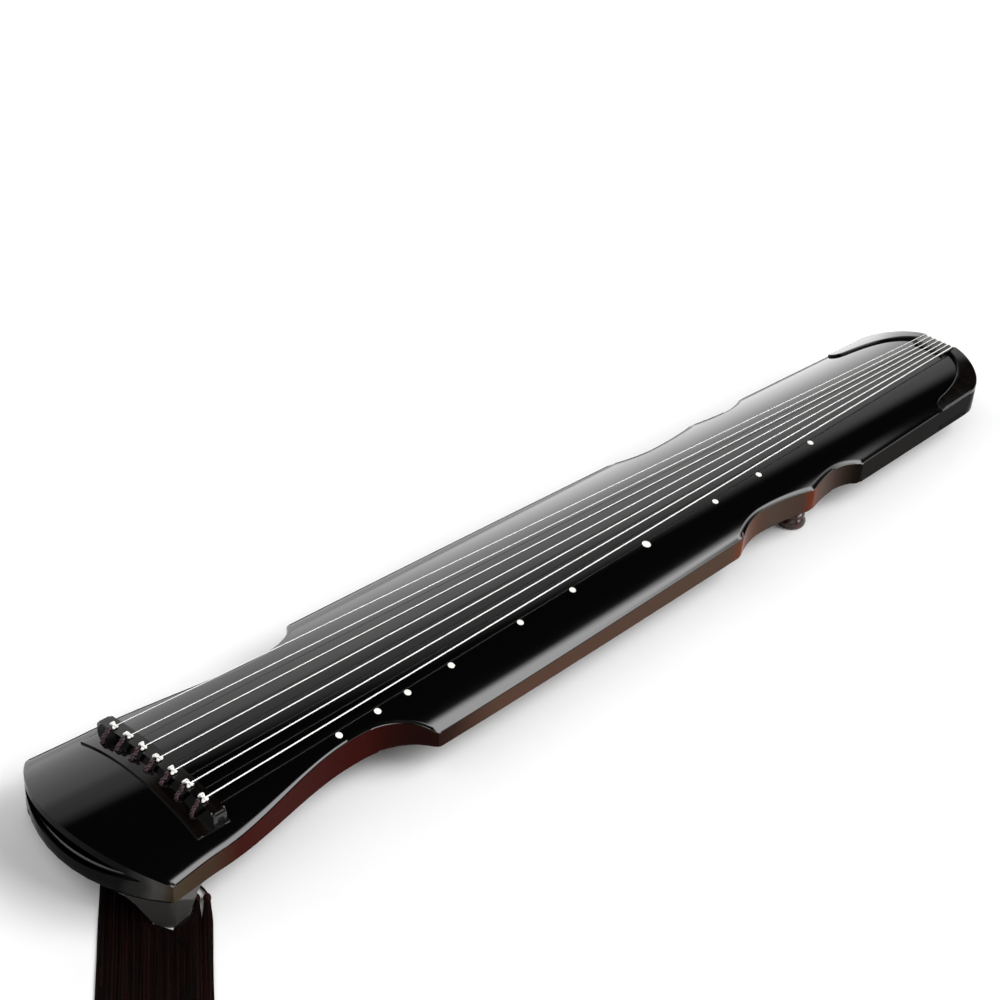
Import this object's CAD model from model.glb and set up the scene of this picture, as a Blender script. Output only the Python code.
import math
import random

import bmesh
import bpy
from mathutils import Matrix, Vector


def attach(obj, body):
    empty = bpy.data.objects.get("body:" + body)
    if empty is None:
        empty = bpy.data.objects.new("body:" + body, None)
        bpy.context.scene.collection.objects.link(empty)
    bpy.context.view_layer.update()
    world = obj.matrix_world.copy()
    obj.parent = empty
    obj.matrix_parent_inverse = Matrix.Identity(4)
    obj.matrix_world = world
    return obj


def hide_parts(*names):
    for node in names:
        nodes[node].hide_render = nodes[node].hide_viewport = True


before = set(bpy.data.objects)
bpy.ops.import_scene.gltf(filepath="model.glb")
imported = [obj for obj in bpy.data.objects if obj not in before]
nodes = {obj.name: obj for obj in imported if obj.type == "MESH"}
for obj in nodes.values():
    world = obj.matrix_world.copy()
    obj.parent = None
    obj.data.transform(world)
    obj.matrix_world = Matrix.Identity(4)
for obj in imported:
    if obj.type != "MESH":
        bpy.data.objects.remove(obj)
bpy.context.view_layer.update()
scene = bpy.context.scene
rng = random.Random(11)

# ---------------------------------------------------------------------------
# Camera: a long lens above the head end, on the stud side, looking down the
# strings towards the tail.
# ---------------------------------------------------------------------------
view = bpy.data.cameras.new("camera")
view.lens = 73.4
view.sensor_width = 36
camera = bpy.data.objects.new("camera", view)
camera.location = (-1.2870, -1.0760, 1.2096)
camera.rotation_euler = (0.98749, -0.05663, -0.78698)
scene.collection.objects.link(camera)
scene.camera = camera

# ---------------------------------------------------------------------------
# Tassels: each peg lets a thin twisted cord out of its hollow foot. The cord
# bends onto the table and ends in a bound head with a skirt of loose silk
# threads. Two skirts lie on one side of the near guard and five on the other.
# ---------------------------------------------------------------------------
BRIDGE_X = -515.5
HOLE_X = BRIDGE_X - 19
PITCH = 20.3
PEG_LOW = 9
CORD_D = 1.8
LAY = Vector((-0.61, -0.7924, 0))
SIDE = Vector((0.7924, -0.61, 0))
SIDE_STEP = [10.9, 14.4, -14.2, -10.1, -6.1, -2, 2.1]
HEAD_AT = [30, 46, 30, 30, 30, 30, 30]
KNOT_LEN = 9
SKIRT_LEN = 205
SKIRT_W = 8.2


def metres(points):
    return [Vector(p) * 0.001 for p in points]


def peg_y(k):
    return -PITCH * (4 - k)


def ease(t):
    t = max(0.0, min(1.0, t))
    return t * t * (3 - 2 * t)


def lay_point(k, along, side, z):
    p = Vector((HOLE_X, peg_y(k), 0)) + LAY * along + SIDE * side
    return Vector((p.x, p.y, z))


def cord_path(k):
    rest, bend = CORD_D / 2 + 0.05, 5
    pts = [lay_point(k, 0, 0, z) for z in (PEG_LOW + 4, PEG_LOW, rest + bend + 1)]
    for i in range(7):
        a = math.radians(15 * i)
        pts.append(lay_point(k, bend * (1 - math.cos(a)), 0, rest + bend * (1 - math.sin(a))))
    for i in range(10):
        t = 0.12 + 0.88 * i / 9
        pts.append(lay_point(k, bend + (HEAD_AT[k - 1] - bend) * t, SIDE_STEP[k - 1] * ease(t),
                             rest + 1.6 * t ** 4))
    for i in range(1, 13):
        pts.append(lay_point(k, HEAD_AT[k - 1] + 16 * i, SIDE_STEP[k - 1], 2.6))
    return pts


def curve_piece(name, runs, radius, materials, sides=2):
    """A round strand along each run: a run is its points and the number of its material."""
    data = bpy.data.curves.new(name, "CURVE")
    data.dimensions = "3D"
    data.bevel_depth = radius * 0.001
    data.bevel_resolution = sides
    data.use_fill_caps = True
    for m in materials:
        data.materials.append(m)
    for pts, index in runs:
        spline = data.splines.new("POLY")
        spline.points.add(len(pts) - 1)
        for point, co in zip(spline.points, metres(pts)):
            point.co = (*co, 1)
        spline.use_smooth = True
        spline.material_index = index
    obj = bpy.data.objects.new(name, data)
    scene.collection.objects.link(obj)
    return obj


def grain_group():
    """Grain tone: colour, roughness and relief that follow one stretched noise."""
    group = bpy.data.node_groups.new("grain tone", "ShaderNodeTree")
    for socket, kind in (("Dark", "Color"), ("Light", "Color"), ("Stretch", "Vector"),
                         ("Scale", "Float"), ("Rough low", "Float"), ("Rough high", "Float")):
        group.interface.new_socket(socket, in_out="INPUT", socket_type=f"NodeSocket{kind}")
    for socket, kind in (("Color", "Color"), ("Roughness", "Float"), ("Height", "Float")):
        group.interface.new_socket(socket, in_out="OUTPUT", socket_type=f"NodeSocket{kind}")
    n, link = group.nodes, group.links.new
    inp, out = n.new("NodeGroupInput"), n.new("NodeGroupOutput")
    coords = n.new("ShaderNodeTexCoord")
    mapping = n.new("ShaderNodeMapping")
    grain = n.new("ShaderNodeTexNoise")
    grain.inputs["Detail"].default_value = 4
    reach = n.new("ShaderNodeMapRange")
    reach.inputs["From Min"].default_value = 0.32
    reach.inputs["From Max"].default_value = 0.7
    tone = n.new("ShaderNodeMix")
    tone.data_type = "RGBA"
    spread = n.new("ShaderNodeMapRange")
    link(coords.outputs["Object"], mapping.inputs["Vector"])
    link(inp.outputs["Stretch"], mapping.inputs["Scale"])
    link(mapping.outputs["Vector"], grain.inputs["Vector"])
    link(inp.outputs["Scale"], grain.inputs["Scale"])
    link(grain.outputs["Fac"], reach.inputs["Value"])
    link(reach.outputs["Result"], tone.inputs["Factor"])
    link(inp.outputs["Dark"], tone.inputs[6])
    link(inp.outputs["Light"], tone.inputs[7])
    link(tone.outputs[2], out.inputs["Color"])
    link(grain.outputs["Fac"], spread.inputs["Value"])
    link(inp.outputs["Rough low"], spread.inputs["To Min"])
    link(inp.outputs["Rough high"], spread.inputs["To Max"])
    link(spread.outputs["Result"], out.inputs["Roughness"])
    link(grain.outputs["Fac"], out.inputs["Height"])
    return group


grain_tone = grain_group()


def surface(name):
    material = bpy.data.materials.new(name)
    material.use_nodes = True
    return material


def grained(name, dark, light, scale, rough, bump=0.0, stretch=(1, 1, 1)):
    """A material whose colour, roughness and relief follow the grain tone."""
    m = surface(name)
    tree = m.node_tree
    shader = tree.nodes["Principled BSDF"]
    tone = tree.nodes.new("ShaderNodeGroup")
    tone.node_tree = grain_tone
    tone.inputs["Dark"].default_value = (*dark, 1)
    tone.inputs["Light"].default_value = (*light, 1)
    tone.inputs["Stretch"].default_value = stretch
    tone.inputs["Scale"].default_value = scale
    tone.inputs["Rough low"].default_value, tone.inputs["Rough high"].default_value = rough
    tree.links.new(tone.outputs["Color"], shader.inputs["Base Color"])
    tree.links.new(tone.outputs["Roughness"], shader.inputs["Roughness"])
    if bump:
        relief = tree.nodes.new("ShaderNodeBump")
        relief.inputs["Strength"].default_value = bump
        relief.inputs["Distance"].default_value = 0.0004
        tree.links.new(tone.outputs["Height"], relief.inputs["Height"])
        tree.links.new(relief.outputs["Normal"], shader.inputs["Normal"])
    return m


def thread_material(name, dark, light):
    m = grained(name, dark, light, 900, (0.38, 0.6), 0.3)
    shader = m.node_tree.nodes["Principled BSDF"]
    shader.inputs["Sheen Weight"].default_value = 0.02
    shader.inputs["Sheen Roughness"].default_value = 0.4
    shader.inputs["Specular IOR Level"].default_value = 0.05
    shader.inputs["Sheen Tint"].default_value = (0.5, 0.3, 0.3, 1)
    return m


silk_black = thread_material("silk thread black", (0.0006, 0.0004, 0.0004), (0.002, 0.001, 0.001))
silk_brown = thread_material("silk thread brown", (0.002, 0.0006, 0.0004), (0.007, 0.002, 0.0015))
silk_plum = thread_material("silk thread plum", (0.008, 0.0015, 0.0015), (0.026, 0.006, 0.005))
# each thread's silk: half of them black, a third brown, a sixth plum
SILK_DRAW = (0, 0, 0, 1, 1, 2)


def slope(at, low, high):
    return max(0.0, min(1.0, (at - low) / (high - low)))


def skirt_run(k):
    """One thread of a skirt: gathered at the head, then spread over the table."""
    across = rng.uniform(-1, 1)
    lift = rng.random() ** 1.5
    length = SKIRT_LEN - rng.uniform(0, 9)
    phase, sway = rng.uniform(0, 6.28), rng.uniform(0.1, 0.5)
    start = HEAD_AT[k - 1] + KNOT_LEN - 1
    pts = []
    for n in range(31):
        t = n / 30
        along = start + length * t
        open_up = ease(t * 9)
        width = 2.3 + (SKIRT_W / 2 - 2.3) * open_up
        side = SIDE_STEP[k - 1] + across * width
        # the two skirts beside the near guard close up round its tip
        if k == 2:
            side -= 14.1 * slope(along, 66.5, 80) * (1 - across) / 2
        elif k == 3:
            side += 18.1 * slope(along, 91.5, 98.5) * (1 + across) / 2
        side += sway * math.sin(phase + 7 * t)
        pile = 2.1 * math.sqrt(max(0.05, 1 - across * across))
        z = 0.75 + lift * pile * (1.5 - 0.6 * t) + 1.6 * (1 - open_up)
        pts.append(lay_point(k, along, side, z))
    return pts


for k in range(1, 8):
    path = cord_path(k)
    cord = curve_piece(f"tassel_{k}_cord", [(path, 0)], CORD_D / 2, [silk_brown], sides=3)
    count = 420 if k in (2, 3) else 150
    runs = [(skirt_run(k), rng.choice(SILK_DRAW)) for _ in range(count)]
    threads = curve_piece(f"tassel_{k}_threads", runs, 0.3,
                          [silk_black, silk_brown, silk_plum], sides=0)
    # the bound head: a close winding of cord over a small core
    wraps = []
    for n in range(150):
        t = n / 149
        r = 2.9 * math.sin(math.pi * (0.12 + 0.8 * t)) ** 0.5
        a = t * 9 * 2 * math.pi
        centre = lay_point(k, HEAD_AT[k - 1] + 0.8 + (KNOT_LEN - 1.6) * t, SIDE_STEP[k - 1], 3.35)
        wraps.append(centre + SIDE * (r * math.cos(a)) + Vector((0, 0, r * math.sin(a))))
    head = curve_piece(f"tassel_{k}_head", [(wraps, 0)], 0.55, [silk_plum], sides=1)
    for piece in (cord, threads, head):
        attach(piece, "body")
    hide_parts(f"tassel_cord_{k}")
    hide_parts(f"tassel_{k}")

# ---------------------------------------------------------------------------
# Studio: a pale floor, a bright low backdrop behind the instrument that fades
# out overhead, one soft box high on the stud side, and a pale wall all round.
# ---------------------------------------------------------------------------
bm = bmesh.new()
bmesh.ops.create_grid(bm, x_segments=2, y_segments=2, size=60)
floor_mesh = bpy.data.meshes.new("floor")
bm.to_mesh(floor_mesh)
bm.free()
floor = bpy.data.objects.new("floor", floor_mesh)
scene.collection.objects.link(floor)
paper = grained("studio floor", (0.86, 0.86, 0.86), (0.9, 0.9, 0.9), 3, (0.7, 0.8))
floor_mesh.materials.append(paper)

world = bpy.data.worlds.new("studio")
scene.world = world
world.use_nodes = True
sky = world.node_tree
backdrop = sky.nodes["Background"]
direction = sky.nodes.new("ShaderNodeTexCoord")
split = sky.nodes.new("ShaderNodeSeparateXYZ")
sky.links.new(direction.outputs["Generated"], split.inputs["Vector"])


def sky_math(kind, a, b=0.0):
    node = sky.nodes.new("ShaderNodeMath")
    node.operation = kind
    for socket, v in zip(node.inputs, (a, b)):
        if isinstance(v, (int, float)):
            socket.default_value = v
        else:
            sky.links.new(v, socket)
    return node.outputs["Value"]


def sky_step(value, low, high):
    """0 to 1 between two angles in degrees, either way round."""
    node = sky.nodes.new("ShaderNodeMapRange")
    node.interpolation_type = "SMOOTHSTEP"
    node.inputs["From Min"].default_value = math.radians(low)
    node.inputs["From Max"].default_value = math.radians(high)
    sky.links.new(value, node.inputs["Value"])
    return node.outputs["Result"]


def product(*values):
    out = values[0]
    for v in values[1:]:
        out = sky_math("MULTIPLY", out, v)
    return out


height = sky_math("ARCSINE", split.outputs["Z"])
bearing = sky_math("ARCTAN2", split.outputs["Y"], split.outputs["X"])
# the backdrop beyond the far side: brightest low down, ending in a slanted edge
wall = sky.nodes.new("ShaderNodeValToRGB")
leaning = sky_math("ADD", height, sky_math("MULTIPLY", bearing, 0.2))
leaning = sky_math("SUBTRACT", leaning, math.radians(7))
sky.links.new(sky_math("DIVIDE", leaning, math.pi / 2), wall.inputs["Fac"])
WALL_FADE = [(0, 0.62), (8, 0.56), (16, 0.46), (27, 0.4), (36, 0.34), (40, 0.2), (46, 0.16),
             (51, 0)]
while len(wall.color_ramp.elements) < len(WALL_FADE):
    wall.color_ramp.elements.new(0.99)
for element, (deg, level) in zip(wall.color_ramp.elements, WALL_FADE):
    element.position = deg / 90
    element.color = (level, level, level, 1)
slant = sky_math("SUBTRACT", bearing, sky_math("MULTIPLY", height, 0.8))
dim_low = sky_math("ADD", sky_math("MULTIPLY", sky_step(bearing, 16, 36), 0.4), 0.6)
dim_high = sky_math("SUBTRACT", 1.0, sky_math("MULTIPLY", sky_step(bearing, 50, 63), 0.28))
low_glow = sky_math("ADD", 1.0, product(sky_step(bearing, 62, 36), sky_step(height, 27, 9), 0.95))
backdrop_light = product(wall.outputs["Color"], sky_step(slant, -19, -11), dim_low, dim_high,
                         low_glow, sky_step(bearing, 112, 88), 3.4)
# the key box, high on the stud side, and the fill behind the camera
key_low = sky_math("MAXIMUM", sky_step(height, 41, 47),
                   product(sky_step(height, 18, 28), sky_step(bearing, -18, -30)))
key_edge = sky_math("ADD", bearing, sky_math("MULTIPLY", height, 1.1))
key_light = product(key_low, sky_step(height, 61, 58), sky_step(key_edge, 51.5, 45.5),
                    sky_step(bearing, -84, -68), 7.0)
away = sky_math("ABSOLUTE", bearing)
fill_light = product(sky_step(away, 92, 116), sky_step(height, 12, 34), 1.15)
# a pale wall all round, low down
low_wall = product(sky_step(height, 16, 9), sky_step(backdrop_light, 1.2, 0.2), 0.8)
level = 0.004
for light in (backdrop_light, key_light, fill_light, low_wall):
    level = sky_math("ADD", light, level)
sky.links.new(level, backdrop.inputs["Strength"])
backdrop.inputs["Color"].default_value = (1, 1, 1, 1)
scene.view_settings.view_transform = "Standard"

# ---------------------------------------------------------------------------
# Top board: a hollowed board of light wood under many coats of black lacquer,
# rubbed to a mirror. Its plan is drawn in at the neck and twice at the waist,
# and its face is a shallow arch.
# ---------------------------------------------------------------------------
CROWN = 70
ARCH_R = 225
BASE_Z = 28
SEAM_Z = 36
HALF_LEN = 624.5
HEAD_HALF, NECK_HALF, SHOULDER_HALF, WAIST_HALF, TAIL_HALF = 102, 71.5, 104, 77, 79
# along the body, from the bridge: the head's front, its corners and the tail's round
FRONT, CORNER, TAIL_ROUND = 109, 70, 1085
TAIL_RUN = 2 * HALF_LEN - FRONT - TAIL_ROUND
FRONT_RISE = FRONT - CORNER
FRONT_R = (HEAD_HALF ** 2 + FRONT_RISE ** 2) / (2 * FRONT_RISE)


def half_width(x):
    """Half the body's width at x behind the bridge: head, neck, shoulder, waist, tail."""
    if x < -40:
        return HEAD_HALF + (97 - HEAD_HALF) * (x + CORNER) / 45
    if x < -10:
        p = (x + 40) / 30
        return 98.67 - 3.33 * p + 1.12 * p * p
    if x < 150:
        return 97 + (NECK_HALF - 97) * ease((x + 25) / 175)
    if x < 160:
        return NECK_HALF
    if x < 220:
        rise = (1 - math.sqrt(1 - ((x - 160) / 64) ** 2)) / (1 - math.sqrt(1 - (60 / 64) ** 2))
        return NECK_HALF + (SHOULDER_HALF - NECK_HALF) * rise
    if x < 660:
        return SHOULDER_HALF - (SHOULDER_HALF - 91.6) * ((x - 220) / 440) ** 1.3
    if x < 712:
        return WAIST_HALF + (91.6 - WAIST_HALF) * (1 - (x - 660) / 52) ** 2
    if x < 786:
        return WAIST_HALF + 8.6 * ((x - 712) / 74) ** 2
    if x < 834:
        return WAIST_HALF + 8.6 * (1 - (x - 786) / 48) ** 1.7
    if x < 870:
        return WAIST_HALF + 9.8 * ((x - 834) / 36) ** 2
    return WAIST_HALF + 9.8 + (TAIL_HALF - WAIST_HALF - 9.8) * (x - 870) / (TAIL_ROUND - 870)


def arch_z(y, grow=0.0):
    r = ARCH_R + grow
    return CROWN - ARCH_R + math.sqrt(r * r - y * y)


def tail_point(a):
    a = math.radians(a)
    c, s = abs(math.cos(a)) ** (2 / 2.1), abs(math.sin(a)) ** (2 / 2.1)
    return TAIL_ROUND + TAIL_RUN * c, math.copysign(TAIL_HALF * s, a)


def front_x(y):
    return -FRONT + FRONT_R - math.sqrt(FRONT_R ** 2 - y * y)


TURN = 38


def side_point(u):
    """Far edge of the plan from the head corner (0) to the rounded tail corner (1)."""
    if u < 0.94:
        x = -CORNER + (TAIL_ROUND + CORNER) * u / 0.94
        return x, half_width(x)
    return tail_point(90 - (90 - TURN) * (u - 0.94) / 0.06)


def plan_point(u, v):
    """Point of the plan: u runs from head to tail, v from -1 (stud side) to 1."""
    sx, sy = side_point(u)
    x, y = sx, v * sy
    head = 1 - ease((sx + CORNER) / 62)
    y_front = HEAD_HALF * v
    x += head * (front_x(y_front) - front_x(HEAD_HALF))
    tail = 1 - ease((1 - u) / 0.13)
    ex, ey = tail_point(TURN * v)
    cx, cy = tail_point(TURN)
    x += tail * (ex - cx)
    y += tail * (ey - v * cy)
    return x, y


def finish_mesh(name, bm, materials, angle=30):
    """Turn a bmesh in millimetres into a smooth-shaded piece in metres."""
    bmesh.ops.recalc_face_normals(bm, faces=bm.faces)
    bmesh.ops.scale(bm, vec=(0.001, 0.001, 0.001), verts=bm.verts)
    mesh = bpy.data.meshes.new(name)
    bm.to_mesh(mesh)
    bm.free()
    for polygon in mesh.polygons:
        polygon.use_smooth = True
    mesh.set_sharp_from_angle(angle=math.radians(angle))
    for m in materials:
        mesh.materials.append(m)
    obj = bpy.data.objects.new(name, mesh)
    scene.collection.objects.link(obj)
    return obj


def bevel_sharp(bm, width, segments=3, angle=35, keep=lambda e: True):
    edges = [e for e in bm.edges if len(e.link_faces) == 2 and keep(e)
             and e.calc_face_angle(0) > math.radians(angle)]
    bmesh.ops.bevel(bm, geom=edges, offset=width, offset_type="OFFSET", affect="EDGES",
                    segments=segments, profile=0.5, material=-1)


def sheet_block(nx, ny, top, bottom):
    """A block from one grid: top(u, v) above and bottom(u, v) below, u and v in 0..1."""
    bm = bmesh.new()
    bmesh.ops.create_grid(bm, x_segments=nx, y_segments=ny, size=0.5)
    for v in bm.verts:
        v.co.xy += Vector((0.5, 0.5))
    below = bmesh.ops.extrude_face_region(bm, geom=bm.faces[:])["geom"]
    low = {v for v in below if isinstance(v, bmesh.types.BMVert)}
    for v in bm.verts:
        fn = bottom if v in low else top
        v.co = Vector(fn(v.co.x, v.co.y))
    return bm


def cut(piece, cutters):
    """Take the cutters out of a piece for good, then drop them."""
    for c in cutters:
        mod = piece.modifiers.new("cut", "BOOLEAN")
        mod.operation = "DIFFERENCE"
        mod.solver = "EXACT"
        mod.object = c
    depsgraph = bpy.context.evaluated_depsgraph_get()
    mesh = bpy.data.meshes.new_from_object(piece.evaluated_get(depsgraph))
    piece.modifiers.clear()
    piece.data = mesh
    for c in cutters:
        bpy.data.objects.remove(c)
    mesh.set_sharp_from_angle(angle=math.radians(30))


def slab(z_top, z_low, nx, ny):
    def top(u, v):
        x, y = plan_point(u, 2 * v - 1)
        return BRIDGE_X + x, y, z_top(y)

    def bottom(u, v):
        x, y = plan_point(u, 2 * v - 1)
        return BRIDGE_X + x, y, z_low
    return sheet_block(nx, ny, top, bottom)


def lacquer_group():
    """Lacquer tone: black on faces that look up, warmer and browner on the sides."""
    group = bpy.data.node_groups.new("lacquer tone", "ShaderNodeTree")
    face = group.interface
    face.new_socket("Black", in_out="INPUT", socket_type="NodeSocketColor")
    face.new_socket("Side", in_out="INPUT", socket_type="NodeSocketColor")
    face.new_socket("Grain", in_out="INPUT", socket_type="NodeSocketFloat")
    face.new_socket("Rough low", in_out="INPUT", socket_type="NodeSocketFloat")
    face.new_socket("Rough high", in_out="INPUT", socket_type="NodeSocketFloat")
    face.new_socket("Color", in_out="OUTPUT", socket_type="NodeSocketColor")
    face.new_socket("Roughness", in_out="OUTPUT", socket_type="NodeSocketFloat")
    face.new_socket("Height", in_out="OUTPUT", socket_type="NodeSocketFloat")
    n, link = group.nodes, group.links.new
    inp, out = n.new("NodeGroupInput"), n.new("NodeGroupOutput")
    coords = n.new("ShaderNodeTexCoord")
    streak = n.new("ShaderNodeMapping")
    streak.inputs["Scale"].default_value = (0.12, 1, 1)
    grain = n.new("ShaderNodeTexNoise")
    grain.inputs["Detail"].default_value = 6
    cloud = n.new("ShaderNodeTexNoise")
    cloud.inputs["Scale"].default_value = 9
    geometry = n.new("ShaderNodeNewGeometry")
    facing = n.new("ShaderNodeSeparateXYZ")
    upward = n.new("ShaderNodeMapRange")
    upward.inputs["From Min"].default_value = 0.75
    upward.inputs["From Max"].default_value = 0.25
    shade = n.new("ShaderNodeMath")
    shade.operation = "MULTIPLY"
    lift = n.new("ShaderNodeMapRange")
    lift.inputs["To Min"].default_value = 0.6
    lift.inputs["To Max"].default_value = 1.25
    mix = n.new("ShaderNodeMix")
    mix.data_type = "RGBA"
    rough = n.new("ShaderNodeMapRange")
    link(coords.outputs["Object"], streak.inputs["Vector"])
    link(streak.outputs["Vector"], grain.inputs["Vector"])
    link(inp.outputs["Grain"], grain.inputs["Scale"])
    link(coords.outputs["Object"], cloud.inputs["Vector"])
    link(geometry.outputs["Normal"], facing.inputs["Vector"])
    link(facing.outputs["Z"], upward.inputs["Value"])
    link(cloud.outputs["Fac"], lift.inputs["Value"])
    link(upward.outputs["Result"], shade.inputs[0])
    link(lift.outputs["Result"], shade.inputs[1])
    link(shade.outputs["Value"], mix.inputs["Factor"])
    link(inp.outputs["Black"], mix.inputs[6])
    link(inp.outputs["Side"], mix.inputs[7])
    link(mix.outputs[2], out.inputs["Color"])
    link(cloud.outputs["Fac"], rough.inputs["Value"])
    link(inp.outputs["Rough low"], rough.inputs["To Min"])
    link(inp.outputs["Rough high"], rough.inputs["To Max"])
    link(rough.outputs["Result"], out.inputs["Roughness"])
    link(grain.outputs["Fac"], out.inputs["Height"])
    return group


lacquer_tone = lacquer_group()


def lacquer(name, black, side, rough, bump):
    m = surface(name)
    tree = m.node_tree
    shader = tree.nodes["Principled BSDF"]
    tone = tree.nodes.new("ShaderNodeGroup")
    tone.node_tree = lacquer_tone
    tone.inputs["Black"].default_value = (*black, 1)
    tone.inputs["Side"].default_value = (*side, 1)
    tone.inputs["Grain"].default_value = 160
    tone.inputs["Rough low"].default_value = rough[0]
    tone.inputs["Rough high"].default_value = rough[1]
    relief = tree.nodes.new("ShaderNodeBump")
    relief.inputs["Strength"].default_value = bump
    relief.inputs["Distance"].default_value = 0.0002
    tree.links.new(tone.outputs["Color"], shader.inputs["Base Color"])
    tree.links.new(tone.outputs["Roughness"], shader.inputs["Roughness"])
    tree.links.new(tone.outputs["Height"], relief.inputs["Height"])
    tree.links.new(relief.outputs["Normal"], shader.inputs["Normal"])
    shader.inputs["IOR"].default_value = 1.5
    return m


black_lacquer = lacquer("black lacquer", (0.001, 0.001, 0.001), (0.006, 0.0022, 0.0015),
                        (0.05, 0.09), 0.03)
base_lacquer = lacquer("underside lacquer", (0.01, 0.004, 0.003), (0.018, 0.004, 0.0025),
                       (0.12, 0.22), 0.1)
# on the upright faces the black coats are rubbed thin, and the red-brown ones show through
edge_lacquer = surface("rubbed edge lacquer")
EDGE_TONES = [(-0.6245, (0.002, 0.002, 0.002)), (-0.606, (0.004, 0.004, 0.004)),
              (-0.596, (0.03, 0.029, 0.028)), (-0.5885, (0.08, 0.077, 0.073)),
              (-0.58, (0.05, 0.036, 0.022)), (-0.545, (0.042, 0.024, 0.014)),
              (-0.5, (0.034, 0.004, 0.002)), (-0.36, (0.028, 0.002, 0.001)),
              (-0.3, (0.012, 0.003, 0.002)), (-0.2, (0.07, 0.036, 0.024)),
              (0.13, (0.062, 0.036, 0.024)), (0.152, (0.12, 0.026, 0.008)),
              (0.18, (0.075, 0.032, 0.018)), (0.22, (0.055, 0.036, 0.028)),
              (0.262, (0.05, 0.03, 0.022)), (0.276, (0.11, 0.024, 0.009)),
              (0.3, (0.06, 0.036, 0.028)), (0.36, (0.004, 0.003, 0.002)),
              (0.58, (0.001, 0.001, 0.001))]


def edge_finish():
    tree = edge_lacquer.node_tree
    shader = tree.nodes["Principled BSDF"]
    coords = tree.nodes.new("ShaderNodeTexCoord")
    place = tree.nodes.new("ShaderNodeSeparateXYZ")
    wander = tree.nodes.new("ShaderNodeTexNoise")
    wander.inputs["Scale"].default_value = 30
    shift = tree.nodes.new("ShaderNodeMath")
    shift.operation = "MULTIPLY_ADD"
    shift.inputs[1].default_value = 0.012
    run = tree.nodes.new("ShaderNodeMapRange")
    run.inputs["From Min"].default_value = -HALF_LEN * 0.001
    run.inputs["From Max"].default_value = HALF_LEN * 0.001
    tones = tree.nodes.new("ShaderNodeValToRGB")
    tones.color_ramp.interpolation = "EASE"
    stops = tones.color_ramp.elements
    while len(stops) < len(EDGE_TONES):
        stops.new(0.999)
    for stop, (x, tone) in zip(stops, EDGE_TONES):
        stop.position = x / 0.001 / HALF_LEN / 2 + 0.5
        stop.color = (*tone, 1)
    gloss = tree.nodes.new("ShaderNodeMapRange")
    gloss.inputs["To Min"].default_value = 0.07
    gloss.inputs["To Max"].default_value = 0.16
    link = tree.links.new
    link(coords.outputs["Object"], place.inputs["Vector"])
    link(coords.outputs["Object"], wander.inputs["Vector"])
    link(wander.outputs["Fac"], shift.inputs[0])
    link(place.outputs["X"], shift.inputs[2])
    link(shift.outputs["Value"], run.inputs["Value"])
    link(run.outputs["Result"], tones.inputs["Fac"])
    link(tones.outputs["Color"], shader.inputs["Base Color"])
    link(wander.outputs["Fac"], gloss.inputs["Value"])
    link(gloss.outputs["Result"], shader.inputs["Roughness"])
    shader.inputs["Specular IOR Level"].default_value = 0.015


edge_finish()


def face_walls(bm):
    """Give the upright outer faces of a slab the second material."""
    bm.normal_update()
    for face in bm.faces:
        if abs(face.normal.z) < 0.35:
            face.material_index = 1


bare_wood = grained("bare paulownia", (0.3, 0.17, 0.08), (0.52, 0.34, 0.18), 140, (0.5, 0.7), 0.3,
                    (0.06, 1, 1))

SLOT_HALF = 80


def slot_roof(y):
    return arch_z(y) - 8


def slot_floor(y):
    return min(CROWN - 29 + 5 * (y / SLOT_HALF) ** 2, slot_roof(y) - 0.05)


def slot_cutter():
    def point(u, v, x_of):
        y = SLOT_HALF * (2 * v - 1)
        z = slot_floor(y) + (slot_roof(y) - slot_floor(y)) * u
        return BRIDGE_X + x_of(y), y, z

    def back(y):
        r = FRONT_R - 22
        return -FRONT + FRONT_R - math.sqrt(r * r - y * y)
    bm = sheet_block(4, 48, lambda u, v: point(u, v, back),
                     lambda u, v: point(u, v, lambda y: front_x(y) - 6))
    return finish_mesh("slot cutter", bm, [black_lacquer])


def block_cutter(name, x0, x1, y0, y1, z0, z1, material, corner=0.0):
    bm = bmesh.new()
    bmesh.ops.create_cube(bm, size=1)
    for v in bm.verts:
        v.co = Vector((x0 if v.co.x < 0 else x1, y0 if v.co.y < 0 else y1,
                       z0 if v.co.z < 0 else z1))
    if corner:
        upright = [e for e in bm.edges
                   if abs(e.verts[0].co.z - e.verts[1].co.z) > 0.5 * abs(z1 - z0)]
        bmesh.ops.bevel(bm, geom=upright, offset=corner, offset_type="OFFSET",
                        affect="EDGES", segments=6, profile=0.5, material=-1)
    return finish_mesh(name, bm, [material])


def chamber_cutter(name, x0, x1, half_of):
    def top(u, v):
        x = x0 + (x1 - x0) * u
        y = half_of(x) * (2 * v - 1)
        return BRIDGE_X + x, y, min(arch_z(y, -9), 66)

    def bottom(u, v):
        x = x0 + (x1 - x0) * u
        return BRIDGE_X + x, half_of(x) * (2 * v - 1), SEAM_Z - 1
    return finish_mesh(name, sheet_block(40, 24, top, bottom), [bare_wood])


bm = slab(arch_z, SEAM_Z, 460, 56)
bevel_sharp(bm, 1.1, 3, 40, lambda e: max(v.co.z for v in e.verts) > SEAM_Z + 0.5)
face_walls(bm)
top_board = finish_mesh("top_board_lacquered", bm, [black_lacquer, edge_lacquer])
cutters = [
    slot_cutter(),
    chamber_cutter("chamber front", 226, 1060, lambda x: min(60, half_width(x) - 11)),
]
cut(top_board, cutters)
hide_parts("top_board")
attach(top_board, "body")

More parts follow.
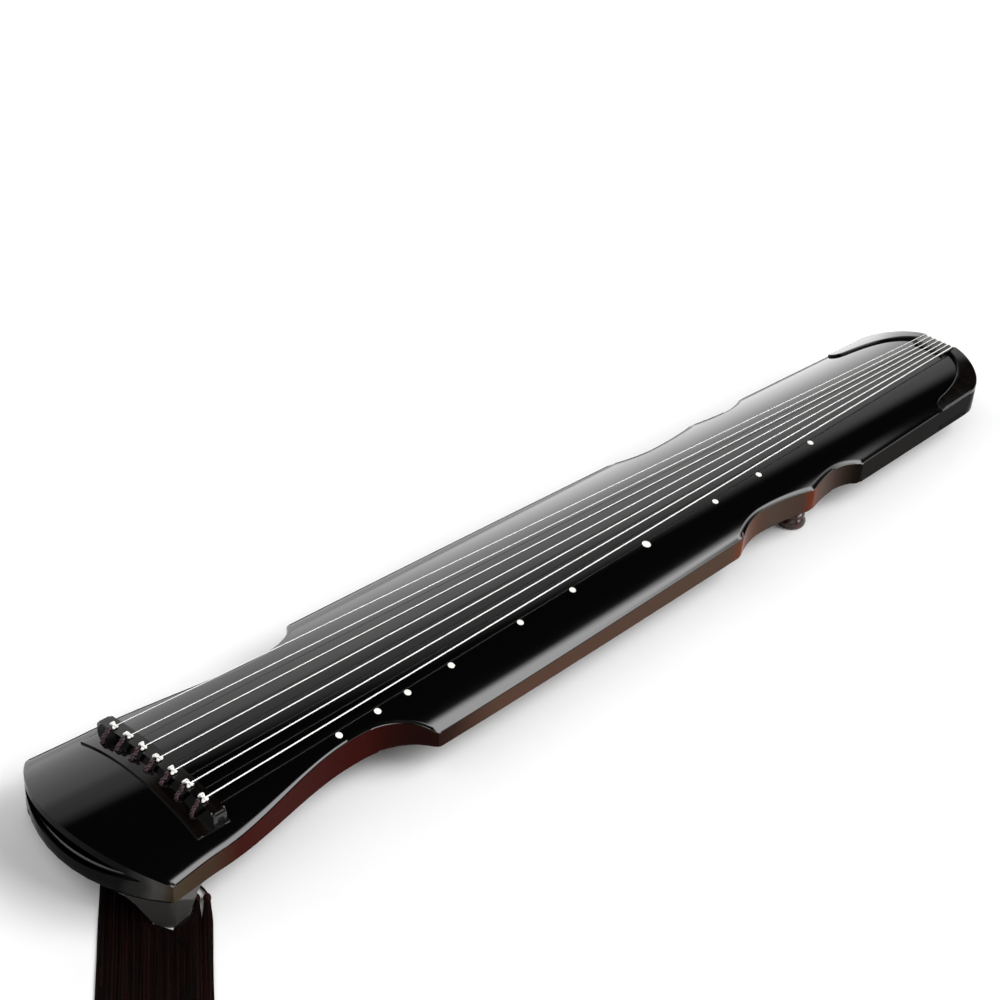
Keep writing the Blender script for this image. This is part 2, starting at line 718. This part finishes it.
# ---------------------------------------------------------------------------
# Bottom board: a flat board of harder wood, lacquered dark brown, with a pool
# for the pegs, two sound holes and a lip bevelled under the head's front.
# ---------------------------------------------------------------------------
bm = slab(lambda y: SEAM_Z, BASE_Z, 460, 12)
bevel_sharp(bm, 1.6, 3, 40, lambda e: min(v.co.z for v in e.verts) < SEAM_Z - 0.5)
face_walls(bm)
bottom_board = finish_mesh("bottom_board_lacquered", bm, [base_lacquer, edge_lacquer])
lip = block_cutter("lip", -20, 20, -78, 78, -20, 0, base_lacquer)
a = math.radians(40)
for v in lip.data.vertices:
    x, z = v.co.x, v.co.z
    v.co.x = x * math.cos(a) + z * math.sin(a) - (HALF_LEN + 1) * 0.001
    v.co.z = -x * math.sin(a) + z * math.cos(a) + BASE_Z * 0.001
cutters = [
    lip,
    block_cutter("peg pool", HOLE_X - 14, HOLE_X + 14, -74, 74, BASE_Z - 2, SEAM_Z + 2,
                 base_lacquer),
    block_cutter("dragon pool", BRIDGE_X + 330, BRIDGE_X + 540, -14, 14, BASE_Z - 2, SEAM_Z + 2,
                 base_lacquer, 6),
    block_cutter("phoenix pond", BRIDGE_X + 900, BRIDGE_X + 1010, -14, 14, BASE_Z - 2,
                 SEAM_Z + 2, base_lacquer, 6),
]
cut(bottom_board, cutters)
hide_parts("bottom_board")
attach(bottom_board, "body")

# ---------------------------------------------------------------------------
# Tongue: a thin curved plate of lacquered wood, set into the back of the slot
# in the head's front. It follows the front's curve a few millimetres behind it.
# ---------------------------------------------------------------------------
def tongue_edge(y, back):
    r = FRONT_R - back
    return BRIDGE_X - FRONT + FRONT_R - math.sqrt(r * r - y * y)


bm = sheet_block(6, 40, lambda u, v: (tongue_edge(148 * v - 74, 3 + 18.6 * u), 148 * v - 74, 48.5),
                 lambda u, v: (tongue_edge(148 * v - 74, 3 + 18.6 * u), 148 * v - 74, 45))
bevel_sharp(bm, 0.8)
tongue = finish_mesh("phoenix_tongue_plate", bm, [black_lacquer])
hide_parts("phoenix_tongue")
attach(tongue, "body")

# ---------------------------------------------------------------------------
# Bridge and its base strip: near-black hardwood, polished. The strip follows
# the arch and is drilled for the silk loops; the bridge stands on it.
# ---------------------------------------------------------------------------
hardwood = grained("polished hardwood", (0.001, 0.0008, 0.0007), (0.004, 0.0028, 0.0022), 220,
                   (0.07, 0.13), 0.06, (1, 0.08, 1))
STRIP_X0, STRIP_X1, STRIP_HALF, STRIP_H = -28, 5, 81, 1.8
BRIDGE_X0, BRIDGE_X1, BRIDGE_HALF = -11.1, 2.5, 80
BRIDGE_H, BRIDGE_TOP_R = 7.2, 520


def cross(x0, x1, half, top, low):
    """A piece that lies across the body, between two heights given over y."""
    return sheet_block(6, 90, lambda u, v: (BRIDGE_X + x0 + (x1 - x0) * u, half * (2 * v - 1),
                                            top(half * (2 * v - 1))),
                       lambda u, v: (BRIDGE_X + x0 + (x1 - x0) * u, half * (2 * v - 1),
                                     low(half * (2 * v - 1))))


def bridge_top(y):
    z = CROWN + BRIDGE_H - BRIDGE_TOP_R + math.sqrt(BRIDGE_TOP_R ** 2 - y * y)
    over = max(0.0, abs(y) - 78)
    return z - (2 - math.sqrt(max(0.0, 4 - over * over)))


bm = cross(STRIP_X0, STRIP_X1, STRIP_HALF, lambda y: arch_z(y, STRIP_H), lambda y: arch_z(y, -2))
bevel_sharp(bm, 0.5)
strip = finish_mesh("chenglu_strip", bm, [hardwood])
holes = []
for k in range(1, 8):
    bm = bmesh.new()
    bmesh.ops.create_cone(bm, segments=32, radius1=2.5, radius2=2.5, depth=60, cap_ends=True)
    bmesh.ops.translate(bm, verts=bm.verts, vec=(HOLE_X, peg_y(k), 70))
    holes.append(finish_mesh("string hole", bm, [hardwood]))
cut(strip, holes)
bm = cross(BRIDGE_X0, BRIDGE_X1, BRIDGE_HALF, bridge_top, lambda y: arch_z(y, STRIP_H))
bevel_sharp(bm, 1.1, 4)
bridge = finish_mesh("yueshan_bridge", bm, [hardwood])
for piece, node in ((strip, "chenglu"), (bridge, "yueshan")):
    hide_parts(node)
    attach(piece, "body")

# ---------------------------------------------------------------------------
# Tail: the nut and rest that the strings turn over, and crescent corner
# plates of hardwood, standing a little proud of the lacquer.
# ---------------------------------------------------------------------------
NUT_H, NUT_R, NUT_HALF = 4, 7, 21
TAIL_X = HALF_LEN - 1.6
NUT_LOW = CROWN - 16
STRING_LEN = 1120
NUT_X0 = BRIDGE_X + STRING_LEN - 9
REST_X0 = BRIDGE_X + STRING_LEN - 3
PLATE_X = 1028


def outline_block(name, outline, half, bevel):
    """Side outline in X and Z, extruded across the body."""
    bm = bmesh.new()
    ring = [bm.verts.new((x, -half, z)) for x, z in outline]
    face = bm.faces.new(ring)
    far = bmesh.ops.extrude_face_region(bm, geom=[face])["geom"]
    bmesh.ops.translate(bm, vec=(0, 2 * half, 0),
                        verts=[v for v in far if isinstance(v, bmesh.types.BMVert)])
    bmesh.ops.recalc_face_normals(bm, faces=bm.faces)
    bevel_sharp(bm, bevel, 3, 60)
    return finish_mesh(name, bm, [hardwood])


def quarter(cx, cz, r, a0, a1, n=10):
    return [(cx + r * math.cos(math.radians(a0 + (a1 - a0) * i / n)),
             cz + r * math.sin(math.radians(a0 + (a1 - a0) * i / n))) for i in range(n + 1)]


nut_z = CROWN + NUT_H
nut = outline_block("longyin_nut", [(NUT_X0, NUT_LOW), (NUT_X0, nut_z - 3), (NUT_X0 + 3, nut_z)]
                    + quarter(TAIL_X - NUT_R, nut_z - NUT_R, NUT_R, 90, 0)
                    + [(TAIL_X, NUT_LOW)], NUT_HALF - 0.1, 0.5)
rest = outline_block("tail_rest_block", [(REST_X0, NUT_LOW - 0.1), (TAIL_X, NUT_LOW - 0.1)]
                     + quarter(TAIL_X - NUT_R, BASE_Z + NUT_R, NUT_R, 0, -90)
                     + [(REST_X0, BASE_Z)], 22.9, 0.5)


def rim_point(t):
    """Outline from where a corner plate begins round to beside the nut."""
    if t < 0.45:
        x = PLATE_X + (TAIL_ROUND - PLATE_X) * t / 0.45
        return x, half_width(x)
    return tail_point(90 - 76.5 * (t - 0.45) / 0.55)


def bezier(a, b, c, t):
    return tuple(p * (1 - t) ** 2 + 2 * q * t * (1 - t) + r * t * t for p, q, r in zip(a, b, c))


def inner_point(t):
    """Inner edge of a corner plate: a small hook at the rim, then a sweep to the nut."""
    if t < 0.25:
        return bezier((PLATE_X, 80.8), (PLATE_X - 4, 70), (1045, 66.5), t / 0.25)
    return bezier((1045, 66.5), (1112, 57), (1124, NUT_HALF + 0.5), (t - 0.25) / 0.75)


corners = []
for side, tag in ((-1, "near"), (1, "far")):
    def plate(u, v, grow):
        ox, oy = rim_point(u)
        ix, iy = inner_point(u)
        x, y = ix + (ox - ix) * v, iy + (oy - iy) * v
        return BRIDGE_X + x, side * y, arch_z(y, grow)
    bm = sheet_block(90, 8, lambda u, v: plate(u, v, 2.6 + 1.2 * ease((u - 0.6) / 0.4)),
                     lambda u, v: plate(u, v, -2))
    bmesh.ops.remove_doubles(bm, verts=bm.verts, dist=0.01)
    bevel_sharp(bm, 1.1, 4, 40)
    corners.append(finish_mesh(f"crown_corner_{tag}_plate", bm, [hardwood]))
for piece, node in ((nut, "longyin"), (rest, "tail_rest"), (corners[0], "crown_corner_near"),
                    (corners[1], "crown_corner_far")):
    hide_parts(node)
    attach(piece, "body")
for node in ("lower_corner_near", "lower_corner_far", "pool_rim", "pond_rim"):
    nodes[node].data.materials.clear()
    nodes[node].data.materials.append(hardwood)

# ---------------------------------------------------------------------------
# Peg guards: two lacquered corner feet under the head, flush with its front
# and sides, curving down to a small foot.
# ---------------------------------------------------------------------------
GUARD_IN, GUARD_LEN, GUARD_TIP = 44, 34, 12
guard_lacquer = lacquer("guard lacquer", (0.008, 0.008, 0.008), (0.045, 0.043, 0.041),
                        (0.06, 0.1), 0.04)
for side, tag in ((-1, "near"), (1, "far")):
    def guard_point(u, v, s):
        """u from the front face backwards, v from inside to the flank, s from top to tip."""
        z = BASE_Z * (1 - s)
        t = 0.5 - math.sin(math.asin(2 * s - 1) / 3)
        y_in = HEAD_HALF - GUARD_TIP - (GUARD_IN - GUARD_TIP) * t ** (1 / 0.6)
        depth = GUARD_TIP + (GUARD_LEN - GUARD_TIP) * t
        y = y_in + (100 - y_in) * v
        for _ in range(3):
            x0 = front_x(min(y, HEAD_HALF))
            x = x0 + (-CORNER + depth - x0) * u
            y = y_in + (half_width(max(x, -CORNER)) - y_in - 0.15) * v
            if x < -CORNER:
                reach = FRONT_R - max(0.0, x + FRONT)
                y = min(y, math.sqrt(max(0.0, FRONT_R ** 2 - reach ** 2)))
        return BRIDGE_X + x, side * y, z
    bm = bmesh.new()
    bmesh.ops.create_grid(bm, x_segments=10, y_segments=10, size=0.5)
    layer = {v: (v.co.x + 0.5, v.co.y + 0.5) for v in bm.verts}
    faces = bm.faces[:]
    for v, (a, b) in layer.items():
        v.co = Vector(guard_point(a, b, 0))
    levels = 16
    for n in range(1, levels + 1):
        moved = bmesh.ops.extrude_face_region(bm, geom=faces, use_keep_orig=n == 1)["geom"]
        fresh = [g for g in moved if isinstance(g, bmesh.types.BMVert)]
        faces = [g for g in moved if isinstance(g, bmesh.types.BMFace)]
        lookup = {tuple(round(c, 4) for c in v.co): uv for v, uv in layer.items()}
        layer = {v: lookup[tuple(round(c, 4) for c in v.co)] for v in fresh}
        for v, (a, b) in layer.items():
            v.co = Vector(guard_point(a, b, n / levels))
    bevel_sharp(bm, 1.0, 3, 40, lambda e: min(v.co.z for v in e.verts) < BASE_Z - 0.5)
    guard = finish_mesh(f"peg_guard_{tag}_foot", bm, [guard_lacquer])
    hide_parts(f"peg_guard_{tag}")
    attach(guard, "body")

# ---------------------------------------------------------------------------
# Studs: ten discs of white shell, let into the lacquer along the stud
# side. The colour shifts softly from pearl to grey.
# ---------------------------------------------------------------------------
shell = grained("white shell", (0.72, 0.72, 0.68), (0.95, 0.94, 0.9), 260, (0.12, 0.3), 0.05)
nodes["hui_studs"].data.materials.clear()
nodes["hui_studs"].data.materials.append(shell)

# ---------------------------------------------------------------------------
# Pegs, plate and feet: turned rosewood. Each peg is hollow, fluted below its
# waist and drilled across for the loop; the feet carry the string ends.
# ---------------------------------------------------------------------------
rosewood = grained("rosewood", (0.07, 0.016, 0.01), (0.26, 0.075, 0.045), 170, (0.22, 0.4), 0.2,
                   (1, 1, 0.12))
rosewood.node_tree.nodes["Principled BSDF"].inputs["Coat Weight"].default_value = 0.25
PEG_TOP = SEAM_Z - 2.5 - 0.3
PEG_R = 7.25


def turned(name, profile, centre, material, steps=64, flute=None):
    """Lathe a profile of (radius, height) round a vertical axis."""
    bm = bmesh.new()
    line = [bm.verts.new((r, 0, z)) for r, z in profile]
    edges = [bm.edges.new(pair) for pair in zip(line, line[1:])]
    bmesh.ops.spin(bm, geom=line + edges, cent=(0, 0, 0), axis=(0, 0, 1),
                   angle=2 * math.pi, steps=steps, use_merge=True)
    bmesh.ops.remove_doubles(bm, verts=bm.verts, dist=0.0005)
    if flute:
        for v in bm.verts:
            r = math.hypot(v.co.x, v.co.y)
            if r > 3.2:
                k = 1 - flute(v.co.z) * (0.5 + 0.5 * math.cos(12 * math.atan2(v.co.y, v.co.x)))
                v.co.x *= k
                v.co.y *= k
    bmesh.ops.translate(bm, verts=bm.verts, vec=centre)
    return finish_mesh(name, bm, [material], 40)


peg_len = PEG_TOP - PEG_LOW
bore = 2.2
for k in range(1, 8):
    r = PEG_R
    # from the foot up: rim, grip, waist, shoulder and tenon, then back down the bore
    profile = [(bore, 0.4), (bore + 0.4, 0), (r - 1.6, 0), (r - 0.6, 0.5), (r, 2), (r, 5.5),
               (r, 9), (r - 0.7, 11.5), (r - 3, 13.5), (r - 3.4, 15), (r - 2.2, 16.6),
               (r - 0.9, 18), (r - 0.9, 20), (r - 1.4, 21.5), (r - 2.4, peg_len),
               (bore, peg_len), (bore, 0.4)]
    peg = turned(f"peg_{k}_turned", profile, (HOLE_X, peg_y(k), PEG_LOW), rosewood, 96,
                 lambda z: 0.1 * (1 - ease((z - 8) / 3)) * ease(z / 1.5))
    bm = bmesh.new()
    bmesh.ops.create_cone(bm, segments=16, radius1=1.1, radius2=1.1, depth=9, cap_ends=True)
    bmesh.ops.rotate(bm, verts=bm.verts, cent=(0, 0, 0),
                     matrix=Matrix.Rotation(math.pi / 2, 3, "X"))
    bmesh.ops.translate(bm, verts=bm.verts, vec=(HOLE_X, peg_y(k) - 5, PEG_LOW + 14.8))
    cut(peg, [finish_mesh("cross hole", bm, [rosewood])])
    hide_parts(f"peg_{k}")
    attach(peg, f"peg_{k}_turns")
nodes["peg_plate"].data.materials.clear()
nodes["peg_plate"].data.materials.append(rosewood)
FOOT_X, FOOT_Y, FOOT_NECK = BRIDGE_X + 786, 62, 11.4
dark_rosewood = grained("dark rosewood", (0.012, 0.004, 0.003), (0.05, 0.017, 0.012), 150,
                        (0.14, 0.26), 0.15, (1, 1, 0.12))
for side, tag in ((-1, "near"), (1, "far")):
    profile = [(0, 0), (13, 0), (14.5, 0.4), (15.5, 1.7), (16, 4.5), (15.8, 6.2), (15, 8.2),
               (13.6, 10), (12.7, 11.2), (12.8, 12.2), (13.8, 13.2), (14, 14), (13.8, 14.8),
               (12.6, 16), (FOOT_NECK, 17), (FOOT_NECK, BASE_Z), (4, BASE_Z), (4, BASE_Z + 17),
               (0, BASE_Z + 17)]
    foot = turned(f"goose_foot_{tag}_turned", profile, (FOOT_X, side * FOOT_Y, 0), dark_rosewood)
    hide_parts(f"goose_foot_{tag}")
    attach(foot, "body")
for node in ("foot_blocks", "heaven_post", "earth_post"):
    nodes[node].data.materials.clear()
    nodes[node].data.materials.append(bare_wood)

# ---------------------------------------------------------------------------
# Strings: steel cores wound with nylon, silvery white, each tied in a small
# fly-head knot on the bridge and wound on one of the two feet.
# ---------------------------------------------------------------------------
wire = grained("wound string", (0.6, 0.6, 0.59), (0.82, 0.82, 0.8), 700, (0.25, 0.4), 0.1)
wire.node_tree.nodes["Principled BSDF"].inputs["Metallic"].default_value = 0.35
knot_white = grained("string knot", (0.7, 0.69, 0.66), (0.9, 0.89, 0.86), 600, (0.35, 0.55), 0.2)
NUT_PITCH = 6.5


def string_r(k):
    return (1.5 - 0.08 * (k - 1)) / 2


def string_path(k):
    """Bridge to nut, over the tail, forward under the body and round one of the feet."""
    r = string_r(k)
    y0, y1 = peg_y(k), -NUT_PITCH * (4 - k)
    zb = bridge_top(y0) + r + 0.08
    pts = [(BRIDGE_X + BRIDGE_X0 + 5, y0, zb), (BRIDGE_X, y0, zb)]
    for i in range(41):
        t = 0.002 + 0.983 * i / 40
        pts.append((BRIDGE_X + STRING_LEN * t, y0 + (y1 - y0) * t,
                    zb + (nut_z + r - zb) * t))
    lift = r + 0.12
    turn_x = TAIL_X - NUT_R
    over = quarter(turn_x, nut_z - NUT_R, NUT_R + lift, 90, 0, 8)
    under = quarter(turn_x, BASE_Z + NUT_R, NUT_R + lift, 0, -90, 8)
    pts += [(x, y1, z) for x, z in over + under]
    s = -1 if k <= 4 else 1
    rw, z0 = FOOT_NECK + r + 0.3, BASE_Z - 2.2 - 1.9 * (k - 1 if k <= 4 else k - 5)
    wind = []
    for i in range(37):
        a = math.radians(90 * s + s * i * 320 / 36)
        wind.append((FOOT_X + rw * math.cos(a), s * FOOT_Y + rw * math.sin(a), z0 - 0.3 * i / 36))
    start = (turn_x, y1, BASE_Z - lift)
    for t in (0.15, 0.4, 0.65, 0.85, 0.95):
        pts.append((start[0] + (wind[0][0] - start[0]) * t, y1 + (wind[0][1] - y1) * t,
                    start[2] + (wind[0][2] - start[2]) * t * t))
    return pts + wind


def fly_head(k):
    """The tied knot: a tight turn round the string with a wing thrown out either side."""
    y0 = peg_y(k)
    x, z = BRIDGE_X + BRIDGE_X0 + 4.2, bridge_top(y0) + 2.5
    size = 1.12 - 0.04 * k
    lean = rng.uniform(-0.25, 0.25)
    pts = []
    for i in range(161):
        t = 2 * math.pi * i / 160
        wing = 3.6 * math.sin(t) + 0.9 * math.sin(3 * t)
        cross_over = 1.5 * math.sin(2 * t) + 0.9 * math.cos(5 * t)
        pts.append((x + size * (cross_over + lean * wing), y0 + size * wing,
                    z + size * (1.15 * math.cos(4 * t) + 0.25 * math.sin(7 * t))))
    return pts


for k in range(1, 8):
    string = curve_piece(f"string_{k}_wound", [(string_path(k), 0)],
                         string_r(k) * (0.92 - 0.02 * k), [wire], sides=3)
    knot = curve_piece(f"string_{k}_fly_head", [(fly_head(k), 0)], 1.05, [knot_white])
    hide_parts(f"string_{k}")
    for piece in (string, knot):
        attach(piece, "body")

# ---------------------------------------------------------------------------
# Silk loops: two dark strands twisted into a cord, up from the peg through
# the board, up the front of the bridge and round the string's knot.
# ---------------------------------------------------------------------------
loop_silk = grained("twisted silk loop", (0.006, 0.0015, 0.003), (0.05, 0.013, 0.022), 500,
                    (0.28, 0.45), 0.4)
shader = loop_silk.node_tree.nodes["Principled BSDF"]
shader.inputs["Sheen Weight"].default_value = 0.15
shader.inputs["Sheen Tint"].default_value = (0.9, 0.55, 0.65, 1)
LOOP_D = 2.6
STEP = 0.45


def loop_path(k):
    y, top = peg_y(k), bridge_top(peg_y(k))
    xf = BRIDGE_X + BRIDGE_X0 - LOOP_D / 2 - 0.9
    zs = arch_z(y) + STRIP_H + 0.5
    pts = [Vector((HOLE_X, y, PEG_LOW + 6 + (zs - PEG_LOW - 6) * i / 20)) for i in range(21)]
    for i in range(8):
        a = math.radians(12 + 66 * i / 7)
        pts.append(Vector((HOLE_X + (xf - HOLE_X) * (1 - math.cos(a)), y,
                           zs + (top - zs - 2.0) * math.sin(a) * 0.9)))
    pts += [Vector((xf, y, top - 0.6)), Vector((xf + 0.5, y, top + 1.2)),
            Vector((xf + 2.1, y, top + 2.3))]
    return pts


def resample(pts, step):
    out, left = [pts[0]], 0.0
    for a, b in zip(pts, pts[1:]):
        d = (b - a).length
        while left + step <= d:
            left += step
            out.append(a.lerp(b, left / d))
        left -= d
    return out


def twist(pts, radius, pitch):
    """Two strands that wind round each other along a path."""
    path = resample(pts, STEP)
    strands = [[], []]
    for i, p in enumerate(path):
        ahead = path[min(i + 1, len(path) - 1)] - path[max(i - 1, 0)]
        across = Vector((0, 1, 0))
        up = ahead.cross(across).normalized()
        a = 2 * math.pi * i * STEP / pitch
        for s, strand in zip((1, -1), strands):
            strand.append(p + (across * math.cos(a) + up * math.sin(a)) * radius * s)
    return strands


for k in range(1, 8):
    strands = [(strand, 0) for strand in twist(loop_path(k), 0.95, 6.5)]
    loop = curve_piece(f"silk_loop_{k}_twisted", strands, 1.1, [loop_silk])
    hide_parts(f"silk_loop_{k}")
    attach(loop, "body")
